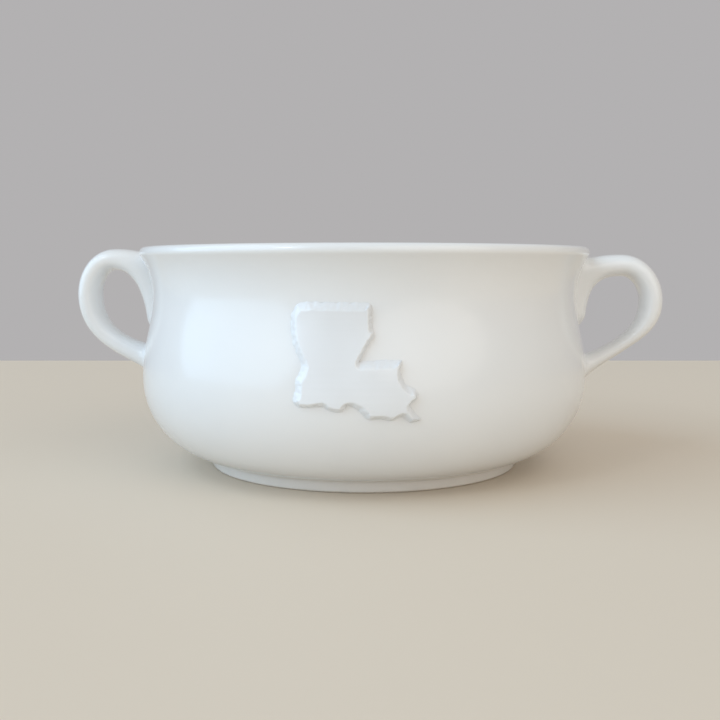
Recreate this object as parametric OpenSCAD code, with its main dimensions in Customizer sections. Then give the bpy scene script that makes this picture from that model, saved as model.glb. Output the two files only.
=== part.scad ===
// Lug soup bowl: a thrown bowl on a foot ring, two strap handles and a pressed relief.
// Millimetres, +Z up. The origin is the middle of the foot, on the table.
// The front, with the relief, faces -Y. The handles stand on the X axis.

/* [Bowl] */
// Outside radius of the rim
rim_r = 72; // [70:0.5:78]
// Height of the rim above the table
bowl_h = 70; // [67:0.5:78]
// How far the belly stays inside the rim
belly_in = 0.5; // [0:0.1:3]
// Height of the belly's widest ring
belly_z = 29; // [25:0.5:33]
// How far the waist lies inside the rim
waist_in = 4; // [2:0.1:7]
// Depth of the waist below the rim
waist_drop = 15.2; // [12:0.2:20]
// Thickness of the wall
wall_t = 3.8; // [3:0.1:5]
// Thickness of the floor at its centre
floor_t = 3.4; // [2.6:0.1:5]
// Radius of the rounded lip
lip_r = 1.8; // [1.5:0.1:2.4]
// Lean of the flare under the lip, in degrees from upright
flare_a = 35; // [20:1:42]

/* [Foot] */
// Outside radius of the foot ring on the table
foot_r = 50; // [42:0.5:54]
// Height of the underside above the table
foot_h = 4; // [3:0.1:5]
// Width of the foot ring on the table
foot_w = 4.2; // [3:0.1:7]
// Rounding of the foot ring's lower edges
foot_round = 0.8; // [0.4:0.1:1.2]
// Radius of the cove between the foot ring and the underside
cove_r = 1.2; // [0.6:0.1:1.8]

/* [Handles] */
// How far the left handle reaches beyond the rim
left_out = 23.4; // [21:0.2:30]
// How far the right handle reaches beyond the rim
right_out = 24.2; // [21:0.2:30]
// How far beyond the rim the strap is highest
crown_out = 11; // [9:0.5:13]
// Depth of the left handle's crown below the rim
left_drop = 0.1; // [0:0.1:4]
// Depth of the right handle's crown below the rim
right_drop = 2.1; // [0:0.1:4]
// Depth of the furthest point of a handle below its crown
side_drop = 15.4; // [13:0.2:18]
// Thickness of the strap
strap_t = 7; // [5.6:0.1:8]
// Width of the strap
strap_w = 13.5; // [10:0.5:18]
// Thickness of the left handle's lower arm
left_arm_t = 6.4; // [4:0.1:7]
// Thickness of the right handle's lower arm
right_arm_t = 4.2; // [3.6:0.1:7]
// Width of a lower arm
arm_w = 11; // [8:0.5:15]
// Depth of the finger hole's lower corner below the rim, left
left_corner_drop = 32.2; // [30:0.2:36]
// Depth of the finger hole's lower corner below the rim, right
right_corner_drop = 35; // [30:0.2:37]
// How much wider a lower arm ends on the wall than it is along its length
seat_flare = 2; // [0.5:0.1:4]
// Depth below the rim of the tip of the left tail, pressed down the wall
left_tail_drop = 27; // [20:0.2:28]
// Depth below the rim of the tip of the right tail
right_tail_drop = 25; // [20:0.2:28]
// Width of a tail near its tip
tail_w = 8.5; // [6:0.5:12]
// Thickness of a tail near its tip
tail_t = 2.4; // [1:0.1:3]

/* [Relief] */
// Width of the raised figure, along the wall
relief_w = 34.2; // [26:0.2:40]
// Height of the raised figure
relief_h = 31.4; // [24:0.2:34]
// Height of the figure's middle above the table
relief_z = 39.2; // [34:0.1:42]
// Turn of the figure from the middle of the front, in degrees
relief_a = 1.25; // [-10:0.25:10]
// How far the figure stands out from the wall
relief_t = 1.8; // [1:0.1:3]
// Height of the figure's edge above the wall, where its slope ends
edge_t = 0.6; // [0.5:0.1:0.9]

/* [Slip] */
// Thickness of the slip under a handle end
slip_t = 0.5; // [0.3:0.1:0.8]
// How far the slip is squeezed out round a handle end
squeeze = 1.5; // [0.8:0.1:2.5]
// Thickness of the slip bed under the foot ring and behind the relief
bed_t = 0.3; // [0.2:0.05:0.5]

/* [Hidden] */
$fn = 128;
glaze = [0.93, 0.94, 0.95];
clay = [0.86, 0.84, 0.80];

// Clearance between a fired clay face and the slip that it is set in
hair = 0.02;
// Thickness to which the slip is feathered at its edge
feather_t = 0.1;
// How far below the rim the strap's top meets the lip
root_drop = 1.9;
// How far the strap's oval dips behind the wall where it is pressed on
sink = 3;

// Counts of points along curves and round sections
lower_steps = 16;
wall_steps = 10;
flare_steps = 9;
lip_steps = 7;
floor_steps = 8;
edge_steps = 6;
sides = 24;
tail_rings = 9;
crown_rings = 5;
side_rings = 9;
arm_rings = 13;
pad_sides = 28;
cap_steps = 3;

// Shares that shape the curves, of the span from one end to the other
under_share = 0.4;
rise_share = 0.61;
belly_share = 0.44;
neck_share = 0.33;
waist_share = 0.42;
flare_share = 0.3;
dish_share = 0.6;
round_share = 0.552;
turn_share = 0.52;
tip_share = 0.15;
thin_share = 0.6;
sweep_share = 0.55;
// Bends of each handle: hang and climb of its lower arm, lift and lean of its tail's face
left_shares = [0.62, 0.13, 0.55, 0.33];
right_shares = [0.5, 0.22, 0.72, 0.22];
under_a = 5;
oval_power = 0.86;
flare_power = 6;
// Where a pad's loops lie, from its edge to its middle; all but the first are at full thickness
loop_shares = [1, 0.82, 0.5, 0.2];

function mix(a, b, t) = a + (b - a) * t;
function bez(p, t) = let (s = 1 - t)
    s * s * s * p[0] + 3 * s * s * t * p[1] + 3 * s * t * t * p[2] + t * t * t * p[3];
function slope(p, t) = let (s = 1 - t)
    3 * s * s * (p[1] - p[0]) + 6 * s * t * (p[2] - p[1]) + 3 * t * t * (p[3] - p[2]);
function curve(p, n, first = 0) = [for (i = [first:n]) bez(p, i / n)];
function unit(v) = v / norm(v);
function heading(a) = [sin(a), cos(a)];

// Outer line of the wall, from the joint with the foot up to the lip, as [radius, height]
joint_r = foot_r + cove_r;
joint = [joint_r, foot_h];
belly_r = rim_r - belly_in;
waist_z = bowl_h - waist_drop;
belly = [belly_r, belly_z];
waist = [rim_r - waist_in, waist_z];
lip = [rim_r - lip_r, bowl_h - lip_r];
lip_foot = lip + lip_r * [cos(flare_a), -sin(flare_a)];
under_line = [joint,
    joint + under_share * (belly_r - joint_r) * [cos(under_a), sin(under_a)],
    belly - [0, rise_share * (belly_z - foot_h)], belly];
belly_line = [belly, belly + [0, belly_share * (waist_z - belly_z)],
    waist - [0, neck_share * (waist_z - belly_z)], waist];
flare_line = [waist, waist + [0, waist_share * (lip_foot.y - waist_z)],
    lip_foot - flare_share * (lip_foot.y - waist_z) * heading(flare_a), lip_foot];
lower_wall = concat(curve(under_line, lower_steps), curve(belly_line, wall_steps, 1));
function lip_arc(a, b) = [for (i = [1:lip_steps]) let (t = mix(a, b, i / lip_steps))
    lip + lip_r * [cos(t), sin(t)]];
lip_out = concat(lip_arc(-flare_a, 0), lip_arc(0, 90));
outer_wall = concat(lower_wall, curve(flare_line, flare_steps, 1), lip_out);

// Radius of the outside of the wall at a height
wall_table = [for (p = outer_wall) [p.y, p.x]];
function wall_r(z) = lookup(z, wall_table);

// Inner line of the wall, offset from the outer line, then down to a dished floor
lower_count = len(lower_wall);
function wall_normal(i) = let (
    a = lower_wall[max(i - 1, 0)], b = lower_wall[min(i + 1, lower_count - 1)], d = unit(b - a))
    [d.y, -d.x];
inner_lower = [for (i = [0:lower_count - 1]) lower_wall[i] - wall_t * wall_normal(i)];
inner_waist = inner_lower[lower_count - 1];
inner_lip = lip - [lip_r, 0];
inner_flare_line = [inner_lip,
    inner_lip - [0, flare_share * (inner_lip.y - inner_waist.y)],
    inner_waist + [0, waist_share * (inner_lip.y - inner_waist.y)], inner_waist];
floor_top = [0, foot_h + floor_t];
floor_line = [inner_lower[0], inner_lower[0] - [dish_share * inner_lower[0].x, 0],
    floor_top + [dish_share * inner_lower[0].x, 0], floor_top];
bowl_section = concat([[0, foot_h]], outer_wall, lip_arc(90, 180),
    curve(inner_flare_line, flare_steps, 1), [for (i = [lower_count - 2:-1:0]) inner_lower[i]],
    curve(floor_line, floor_steps, 1));

// Thrown bowl
module bowl_body() {
    color(glaze) rotate_extrude() polygon(bowl_section);
}

// Section of the foot ring, with rounded lower edges and a cove up to the underside
ring_top = foot_h - bed_t;
ring_in = foot_r - foot_w;
ring_section = concat(
    [for (i = [0:edge_steps]) let (a = 90 * i / edge_steps)
        [ring_in + foot_round - foot_round * cos(a), foot_round - foot_round * sin(a)]],
    [for (i = [0:edge_steps]) let (a = 90 * i / edge_steps)
        [foot_r - foot_round + foot_round * sin(a), foot_round - foot_round * cos(a)]],
    [for (i = [0:edge_steps]) let (a = 90 * i / edge_steps)
        [joint_r - cove_r * cos(a), ring_top - cove_r + cove_r * sin(a)]],
    [[ring_in - cove_r, ring_top]]);

// Foot ring, its flat lower face bare of glaze
module foot_ring() {
    color(clay) rotate_extrude() polygon(ring_section);
}

// Slip bed between the foot ring and the underside of the bowl
module foot_slip() {
    color(clay) translate([0, 0, ring_top]) difference() {
        cylinder(h = bed_t, r = joint_r);
        translate([0, 0, -bed_t]) cylinder(h = 3 * bed_t, r = ring_in - cove_r);
    }
}

// Point pushed out of the wall to a gap from it, or pulled on to that gap where held is true
function seated(p, gap, held = false) = let (
    r = norm([p.x, p.y]), w = wall_r(p.z) + gap)
    (held || r < w) ? [p.x * w / r, p.y * w / r, p.z] : p;
function soft(v) = sign(v) * pow(abs(v), oval_power);
// Oval ring across a strap, between a point of its outer and one of its inner line
function oval(o, i, w) = [for (k = [0:sides - 1])
    let (c = (o + i) / 2, h = (o - i) / 2, t = 360 * k / sides)
    [c.x + h.x * soft(cos(t)), w / 2 * soft(sin(t)), c.y + h.y * soft(cos(t))]];
function shrunk(ring, share) = let (c = [for (k = [0:2]) (min([for (p = ring) p[k]]) +
    max([for (p = ring) p[k]])) / 2]) [for (p = ring) c + (p - c) * share];

// Faces of a stack of rings of n points, closed by a point before and a point after them
function stack_faces(rings, n) = let (last = 1 + rings * n) concat(
    [for (k = [0:n - 1]) [0, 1 + (k + 1) % n, 1 + k]],
    [for (j = [0:rings - 2], k = [0:n - 1], h = [0, 1]) let (
        a = 1 + j * n + k, b = 1 + j * n + (k + 1) % n, c = a + n, d = b + n)
        h == 0 ? [a, b, c] : [b, d, c]],
    [for (k = [0:n - 1]) [last, last - n + k, last - n + (k + 1) % n]]);
function middle(ring) = let (s = [for (k = [0:2]) [for (p = ring) p[k]] * [for (p = ring) 1]])
    s / len(ring);

// Lines of a strap handle, whose bends are the shares in b
crown_r = rim_r + crown_out;
function inner_lead(top_z, z0, b) = let (x0 = wall_r(z0) + tail_t, z1 = top_z - strap_t)
    [[x0, z0], [x0 + tail_t / 3, mix(z0, z1, b[2])], [mix(x0, crown_r, b[3]), z1], [crown_r, z1]];
function outer_lead(top_z, root_z) = let (x0 = wall_r(root_z) - sink)
    [[x0, root_z], [mix(x0, crown_r, 1 / 2), mix(root_z, top_z, 1 / 2)],
    [mix(x0, crown_r, sweep_share), top_z], [crown_r, top_z]];
function quarter(r, top_z, side_z) = [[crown_r, top_z],
    [mix(crown_r, r, round_share), top_z],
    [r, mix(side_z, top_z, round_share)], [r, side_z]];
function arm_line(r, side_z, corner_z, b) = let (w = wall_r(corner_z))
    [[r, side_z], [r, mix(side_z, corner_z, b[0])],
    [mix(w, r, sweep_share), mix(corner_z, side_z, b[1])], [w, corner_z]];
function thinned(t) = let (s = min(1, t / thin_share)) s * s * (3 - 2 * s);
function arm_outer(line, arm_t, t) = let (d = unit(slope(line, t)),
    h = mix(strap_t, arm_t, thinned(t)) + seat_flare * pow(t, flare_power))
    bez(line, t) + h * [-d.y, d.x];
function tip_share_at(s) = s < tip_share ? sqrt(1 - pow(1 - s / tip_share, 2)) : 1;

// All rings of a handle on the +X side, from the tip of its tail to the end of its arm
function handle_rings(reach, top_z, tail_z, corner_z, arm_t, b) = let (
    root_z = top_z - root_drop, side_z = top_z - side_drop, gap = slip_t + hair,
    lead_in = inner_lead(top_z, tail_z, b), lead_out = outer_lead(top_z, root_z),
    line = arm_line(reach - strap_t, side_z, corner_z, b),
    tail = [for (i = [0:tail_rings - 1]) let (
        s = (i + tip_share) / (tail_rings - 1 + tip_share), f = tip_share_at(s),
        z = mix(tail_z, root_z, s), q = bez(lead_in, s * turn_share), w = wall_r(q.y) + gap)
        oval([wall_r(z) - sink * f, z], [mix(w, q.x, f), q.y], mix(tail_w, strap_w, s) * f)],
    crown = [for (i = [1:crown_rings]) let (t = i / crown_rings)
        oval(bez(lead_out, t), bez(lead_in, mix(turn_share, 1, t)), strap_w)],
    side = [for (i = [1:side_rings]) let (t = i / side_rings)
        oval(bez(quarter(reach, top_z, side_z), t),
            bez(quarter(reach - strap_t, top_z - strap_t, side_z), t), strap_w)],
    arm = [for (i = [1:arm_rings]) let (t = i / arm_rings,
        w = mix(strap_w, arm_w, thinned(t)) + seat_flare * pow(t, flare_power))
        oval(arm_outer(line, arm_t, t), bez(line, t), w)],
    loose = concat(tail, crown, side, arm), n = len(loose), end = loose[n - 1])
    [for (j = [0:n + cap_steps - 2]) j < n - 1 ? [for (p = loose[j]) seated(p, gap)]
        : [for (p = shrunk(end, 1 - (j - n + 1) / cap_steps)) seated(p, gap, true)]];

// One pulled strap handle, with its tail up the wall and its loop beyond the rim
module handle(out, drop, tail_drop, corner_drop, arm_t, b) {
    rings = handle_rings(rim_r + out, bowl_h - drop, bowl_h - tail_drop, bowl_h - corner_drop,
        arm_t, b);
    n = len(rings);
    ends = [middle(rings[0]), middle(rings[n - 1])];
    gap = slip_t + hair;
    points = concat([seated(ends[0], gap)], [for (r = rings) for (p = r) p],
        [seated(ends[1], gap, true)]);
    polyhedron(points, stack_faces(n, sides));
}

module left_handle() {
    color(glaze) mirror([1, 0, 0]) handle(left_out, left_drop, left_tail_drop, left_corner_drop,
        left_arm_t, left_shares);
}

module right_handle() {
    color(glaze) handle(right_out, right_drop, right_tail_drop, right_corner_drop, right_arm_t,
        right_shares);
}

// Slip pad on the +X side, between two heights, with its full width at each of them
module pad(z0, z1, w0, w1) {
    last = len(loop_shares) - 1;
    n = pad_sides;
    function outline(g, k) = let (t = 360 * k / n, s = (1 - cos(t)) / 2,
        z = mix(mix(z0, z1, 0.5), mix(z0, z1, s), g), y = g * mix(w0, w1, s) / 2 * sin(t))
        [sqrt(max(pow(wall_r(z), 2) - y * y, 0)), y, z];
    function loop(i, gap) = [for (k = [0:n - 1]) seated(outline(loop_shares[i], k), gap, true)];
    rings = concat([for (i = [last:-1:0]) loop(i, i == 0 ? feather_t : slip_t)],
        [for (i = [0:last]) loop(i, hair)]);
    centre = outline(0, 0);
    points = concat([seated(centre, slip_t, true)], [for (r = rings) for (p = r) p],
        [seated(centre, hair, true)]);
    polyhedron(points, stack_faces(len(rings), n));
}

module upper_slip(drop, tail_drop) {
    pad(bowl_h - tail_drop - squeeze, bowl_h - drop - root_drop, tail_w + 2 * squeeze,
        strap_w + 2 * squeeze);
}

module lower_slip(corner_drop, arm_t) {
    corner_z = bowl_h - corner_drop;
    h = arm_t + seat_flare;
    w = arm_w + seat_flare + 2 * squeeze;
    pad(corner_z - h - squeeze, corner_z + squeeze, w, w);
}

module left_upper_slip() {
    color(clay) mirror([1, 0, 0]) upper_slip(left_drop, left_tail_drop);
}

module right_upper_slip() {
    color(clay) upper_slip(right_drop, right_tail_drop);
}

module left_lower_slip() {
    color(clay) mirror([1, 0, 0]) lower_slip(left_corner_drop, left_arm_t);
}

module right_lower_slip() {
    color(clay) lower_slip(right_corner_drop, right_arm_t);
}

// Outline of the relief, as shares of its width and height from its lower left corner:
// the west side from the top down, the upper east side down to the inner corner, the east
// side of the toe, and the coast from west to east
west_shares = [[0.07, 1], [0.02, 0.95], [0, 0.84], [0.02, 0.7], [0.05, 0.6], [0.08, 0.51],
    [0.09, 0.45], [0.07, 0.39], [0.06, 0.34], [0.06, 0.28], [0.05, 0.23], [0.04, 0.19],
    [0.05, 0.16], [0.08, 0.13]];
east_shares = [[0.63, 0.99], [0.64, 0.89], [0.64, 0.8], [0.65, 0.73], [0.58, 0.63], [0.53, 0.52]];
toe_shares = [[0.87, 0.53], [0.85, 0.44], [0.86, 0.37], [0.9, 0.32], [0.96, 0.28],
    [0.97, 0.22], [0.91, 0.16], [0.95, 0.09], [1, 0.03]];
coast_shares = [[0.08, 0.13], [0.18, 0.13], [0.28, 0.15], [0.33, 0.12], [0.39, 0.1],
    [0.43, 0.11], [0.46, 0.16], [0.51, 0.14], [0.56, 0.1], [0.6, 0.03], [0.7, 0.04],
    [0.78, 0.02], [0.83, 0.07], [0.88, 0.03], [0.93, 0], [1, 0.03]];

// The figure is two four-sided patches that share the column under the inner corner
corner_row = len(east_shares) - 1;
last_row = len(west_shares) - 1;
corner_col = 8;
last_col = len(coast_shares) - 1;
inset_share = 0.8;
function graded(a, b) = concat([a, a + inset_share], [for (i = [a + 1:b - 1]) i],
    [b - inset_share, b]);
function rest(list) = [for (i = [1:len(list) - 1]) list[i]];
rows = concat(graded(0, corner_row), rest(graded(corner_row, last_row)));
cols = concat(graded(0, corner_col), rest(graded(corner_col, last_col)));
corner_r = search(corner_row, rows)[0];
corner_c = search(corner_col, cols)[0];
row_count = len(rows);
col_count = len(cols);

function along(list, i) = let (a = floor(i), b = min(a + 1, len(list) - 1))
    mix(list[a], list[b], i - a);
function column(i) = i <= corner_row ? along(east_shares, i) : mix(east_shares[corner_row],
    coast_shares[corner_col], (i - corner_row) / (last_row - corner_row));
function patch(top, bottom, left, right, u, v) = mix(top, bottom, v) + mix(left, right, u);
function corners(a, b, c, d, u, v) = mix(mix(a, b, u), mix(c, d, u), v);
function west_patch(r, c) = let (u = c / corner_col, v = r / last_row)
    patch(mix(west_shares[0], east_shares[0], u), along(coast_shares, c),
        along(west_shares, r), column(r), u, v)
    - corners(west_shares[0], east_shares[0], coast_shares[0], coast_shares[corner_col], u, v);
function toe_patch(r, c) = let (u = (c - corner_col) / (last_col - corner_col),
    v = (r - corner_row) / (last_row - corner_row))
    patch(mix(east_shares[corner_row], toe_shares[0], u), along(coast_shares, c),
        column(r), along(toe_shares, r - corner_row), u, v)
    - corners(east_shares[corner_row], toe_shares[0], coast_shares[corner_col],
        coast_shares[last_col], u, v);
function figure_share(r, c) = c <= corner_col ? west_patch(r, c) : toe_patch(r, c);

// A point of the figure, wrapped on the wall at a height above it
relief_r = wall_r(relief_z);
function on_wall(s, gap) = let (z = relief_z + (s.y - 0.5) * relief_h,
    a = relief_a + (s.x - 0.5) * relief_w / relief_r * 180 / PI, r = wall_r(z) + gap)
    [r * sin(a), -r * cos(a), z];

// Grid of the figure: cells run over the rows and columns that lie inside the outline
function inside(j, k) = k <= corner_c || j >= corner_r;
function edge(j, k) = j == 0 || k == 0 || j == row_count - 1 || k == col_count - 1
    || (k == corner_c && j <= corner_r) || (j == corner_r && k >= corner_c);
function spot(j, k) = j * col_count + k;
cells = [for (j = [0:row_count - 2], k = [0:col_count - 2])
    if (inside(j, k + 1) && inside(j + 1, k + 1)) [j, k]];
rim_path = concat([for (k = [0:corner_c]) [0, k]], [for (j = [1:corner_r]) [j, corner_c]],
    [for (k = [corner_c + 1:col_count - 1]) [corner_r, k]],
    [for (j = [corner_r + 1:row_count - 1]) [j, col_count - 1]],
    [for (k = [col_count - 2:-1:0]) [row_count - 1, k]],
    [for (j = [row_count - 2:-1:1]) [j, 0]]);

// Plate in the shape of the figure, between two heights above the wall, its edge at a third
module figure(low, high, side) {
    all_spots = [for (j = [0:row_count - 1], k = [0:col_count - 1]) [j, k]];
    function share_at(q) = inside(q[0], q[1]) ? figure_share(rows[q[0]], cols[q[1]])
        : east_shares[corner_row];
    front = [for (q = all_spots) on_wall(share_at(q), edge(q[0], q[1]) ? side : high)];
    back = [for (q = all_spots) on_wall(share_at(q), low)];
    m = len(all_spots);
    n = len(rim_path);
    polyhedron(concat(front, back), concat(
        [for (q = cells, h = [0, 1]) let (a = spot(q[0], q[1]), b = a + 1,
            c = a + col_count, d = c + 1) h == 0 ? [a, b, c] : [b, d, c]],
        [for (q = cells, h = [0, 1]) let (a = m + spot(q[0], q[1]), b = a + 1,
            c = a + col_count, d = c + 1) h == 0 ? [a, c, b] : [b, c, d]],
        [for (i = [0:n - 1], h = [0, 1]) let (p = rim_path[i], q = rim_path[(i + 1) % n],
            a = spot(p[0], p[1]), b = spot(q[0], q[1])) h == 0 ? [a, a + m, b] : [b, a + m, b + m]]));
}

// Pressed figure on the front, its sides sloped
module state_relief() {
    color(glaze) figure(bed_t + hair, relief_t, edge_t);
}

// Slip bed behind the figure
module relief_slip() {
    color(clay) figure(hair, bed_t, bed_t);
}

bowl_body();
foot_ring();
foot_slip();
left_handle();
right_handle();
left_upper_slip();
left_lower_slip();
right_upper_slip();
right_lower_slip();
state_relief();
relief_slip();
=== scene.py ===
"""Looks of the lug soup bowl: its glazed wall, pulled handles and pressed relief, around the CAD frame."""
import logging
import math
from dataclasses import dataclass, field
from enum import Enum

import bpy
import numpy as np
from mathutils import Matrix, Vector, noise


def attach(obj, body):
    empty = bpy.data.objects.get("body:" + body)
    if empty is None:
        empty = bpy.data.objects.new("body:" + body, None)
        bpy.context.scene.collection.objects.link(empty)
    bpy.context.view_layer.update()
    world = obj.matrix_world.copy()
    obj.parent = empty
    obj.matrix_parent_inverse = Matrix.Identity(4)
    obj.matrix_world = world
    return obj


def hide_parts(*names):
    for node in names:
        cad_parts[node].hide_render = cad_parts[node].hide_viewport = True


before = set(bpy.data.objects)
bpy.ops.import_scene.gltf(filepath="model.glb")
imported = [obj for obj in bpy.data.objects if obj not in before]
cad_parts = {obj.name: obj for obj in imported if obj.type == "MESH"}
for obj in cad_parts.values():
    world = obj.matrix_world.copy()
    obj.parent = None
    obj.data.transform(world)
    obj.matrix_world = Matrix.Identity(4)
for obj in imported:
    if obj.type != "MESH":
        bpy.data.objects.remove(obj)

MM = 0.001
WELD = 0.001 * MM
TINY = 1e-12
QUARTER_BEND = 0.552
ROOT = "root"
HOLLOW = "hollow"
Triple = tuple[float, float, float]
Span = tuple[float, float]
Shares = tuple[Span, ...]
Socket = bpy.types.NodeSocket
log = logging.getLogger("lug_soup_bowl")


class Slot(Enum):
    """The record's material slots, one passed along with each dressed piece."""

    WHITE_GLAZE = "white_glaze"
    FOOT_GLAZE = "foot_glaze"


class Side(Enum):
    """Side of the bowl that a handle stands on, as the sign of its x."""

    LEFT = -1
    RIGHT = 1


def mix(a: float, b: float, share: float) -> float:
    """The value at a share of the way from a to b."""
    return a + (b - a) * share


def steps_of(count: int) -> list[float]:
    """Equal shares of a way, from its first step to the whole."""
    return [i / count for i in range(1, count + 1)]


@dataclass(frozen=True)
class Curve:
    """A cubic curve in the plane of radius and height."""

    points: tuple[Vector, Vector, Vector, Vector]

    def at(self, t: float) -> Vector:
        """The point at a share of the way along.

        Args:
            t: The share, from 0 to 1.

        Returns:
            The point.
        """
        a, b, c, d = self.points
        s = 1 - t
        return s * s * s * a + 3 * s * s * t * b + 3 * s * t * t * c + t * t * t * d

    def slope(self, t: float) -> Vector:
        """The direction at a share of the way along, not made a unit.

        Args:
            t: The share, from 0 to 1.

        Returns:
            The direction.
        """
        a, b, c, d = self.points
        s = 1 - t
        return 3 * s * s * (b - a) + 6 * s * t * (c - b) + 3 * t * t * (d - c)

    def walk(self, steps: int) -> list[Vector]:
        """Points along the curve, without its first one."""
        return [self.at(t) for t in steps_of(steps)]


@dataclass
class Wall:
    """The thrown wall: its outer line from the foot to the lip, and its inner line back down.

    Each pull is the share of a stretch for which its curve keeps straight on from one of its ends.
    """

    rim_r: float = 72 * MM
    height: float = 70 * MM
    belly_in: float = 0.5 * MM
    belly_z: float = 29 * MM
    waist_in: float = 4 * MM
    waist_drop: float = 15.2 * MM
    thickness: float = 3.8 * MM
    floor_t: float = 3.4 * MM
    lip_r: float = 1.8 * MM
    flare: float = math.radians(35)
    foot_r: float = 50 * MM
    foot_h: float = 4 * MM
    cove_r: float = 1.2 * MM
    under_angle: float = math.radians(5)
    under_pull: Span = (0.4, 0.61)
    side_pull: Span = (0.44, 0.33)
    flare_pull: Span = (0.42, 0.3)
    neck_pull: Span = (0.3, 0.42)
    dish_pull: float = 0.6
    under_lip_steps: int = 5
    lip_steps: int = 7
    table_steps: tuple[int, int] = (24, 16)
    table: np.ndarray = field(init=False)

    def __post_init__(self) -> None:
        """Works out the table of radius against height that everything on the wall is seated by."""
        line = [self.joint] + self.outer_line(*self.table_steps)
        self.table = np.array([(p.y, p.x) for p in line])

    @property
    def joint(self) -> Vector:
        """Where the underside meets the foot's cove."""
        return Vector((self.foot_r + self.cove_r, self.foot_h))

    @property
    def lip(self) -> Vector:
        """Centre of the lip's rounding."""
        return Vector((self.rim_r - self.lip_r, self.height - self.lip_r))

    def lower_curves(self) -> list[Curve]:
        """The underside and the belly, up to the waist.

        Returns:
            The two curves, the lower one first.
        """
        belly = Vector((self.rim_r - self.belly_in, self.belly_z))
        waist = Vector((self.rim_r - self.waist_in, self.height - self.waist_drop))
        rise, lift = belly.y - self.foot_h, waist.y - belly.y
        along, below = self.under_pull
        run = along * (belly.x - self.joint.x)
        lean = Vector((math.cos(self.under_angle), math.sin(self.under_angle)))
        under = Curve((self.joint, self.joint + run * lean, belly - Vector((0, below * rise)), belly))
        low, high = self.side_pull
        side = Curve((belly, belly + Vector((0, low * lift)), waist - Vector((0, high * lift)), waist))
        return [under, side]

    def lip_arc(self, start: float, end: float, steps: int) -> list[Vector]:
        """Points round the lip, without the first, between two angles from straight outwards."""
        turns = [mix(start, end, t) for t in steps_of(steps)]
        return [self.lip + self.lip_r * Vector((math.cos(t), math.sin(t))) for t in turns]

    def outer_line(self, lower_steps: int, upper_steps: int) -> list[Vector]:
        """The outer line from just above the joint to the top of the lip.

        Args:
            lower_steps: Points on the underside.
            upper_steps: Points on the belly, and again on the flare.

        Returns:
            Points of radius and height.
        """
        under, side = self.lower_curves()
        lip_foot = self.lip + self.lip_r * Vector((math.cos(self.flare), -math.sin(self.flare)))
        waist = side.points[3]
        rise = lip_foot.y - waist.y
        lean = Vector((math.sin(self.flare), math.cos(self.flare)))
        low, high = self.flare_pull
        flare = Curve((waist, waist + Vector((0, low * rise)), lip_foot - high * rise * lean, lip_foot))
        line = under.walk(lower_steps) + side.walk(upper_steps) + flare.walk(upper_steps)
        line += self.lip_arc(-self.flare, 0, self.under_lip_steps)
        return line + self.lip_arc(0, math.pi / 2, self.lip_steps)

    def inner_line(self, steps: int) -> list[Vector]:
        """The inner line from the top of the lip down to the middle of the floor.

        Args:
            steps: Points on each stretch.

        Returns:
            Points of radius and height.
        """
        lower = [self.inset(curve, t) for curve in self.lower_curves() for t in steps_of(steps)]
        start = self.inset(self.lower_curves()[0], 0)
        top = self.lip - Vector((self.lip_r, 0))
        drop = top.y - lower[-1].y
        high, low = self.neck_pull
        neck = Curve((top, top - Vector((0, high * drop)), lower[-1] + Vector((0, low * drop)), lower[-1]))
        middle = Vector((0, self.foot_h + self.floor_t))
        dish = Vector((self.dish_pull * start.x, 0))
        floor = Curve((start, start - dish, middle + dish, middle))
        down = lower[-2::-1] + [start]
        lip = self.lip_arc(math.pi / 2, math.pi, self.lip_steps)
        return lip + neck.walk(steps) + down + floor.walk(steps)

    def inset(self, curve: Curve, t: float) -> Vector:
        """The point a wall's thickness inside a curve of the outer line."""
        along = curve.slope(t).normalized()
        return curve.at(t) - self.thickness * Vector((along.y, -along.x))

    def radius(self, z: np.ndarray | float) -> np.ndarray | float:
        """Outer radius of the wall at a height, or at an array of them."""
        return np.interp(z, self.table[:, 0], self.table[:, 1])


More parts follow.
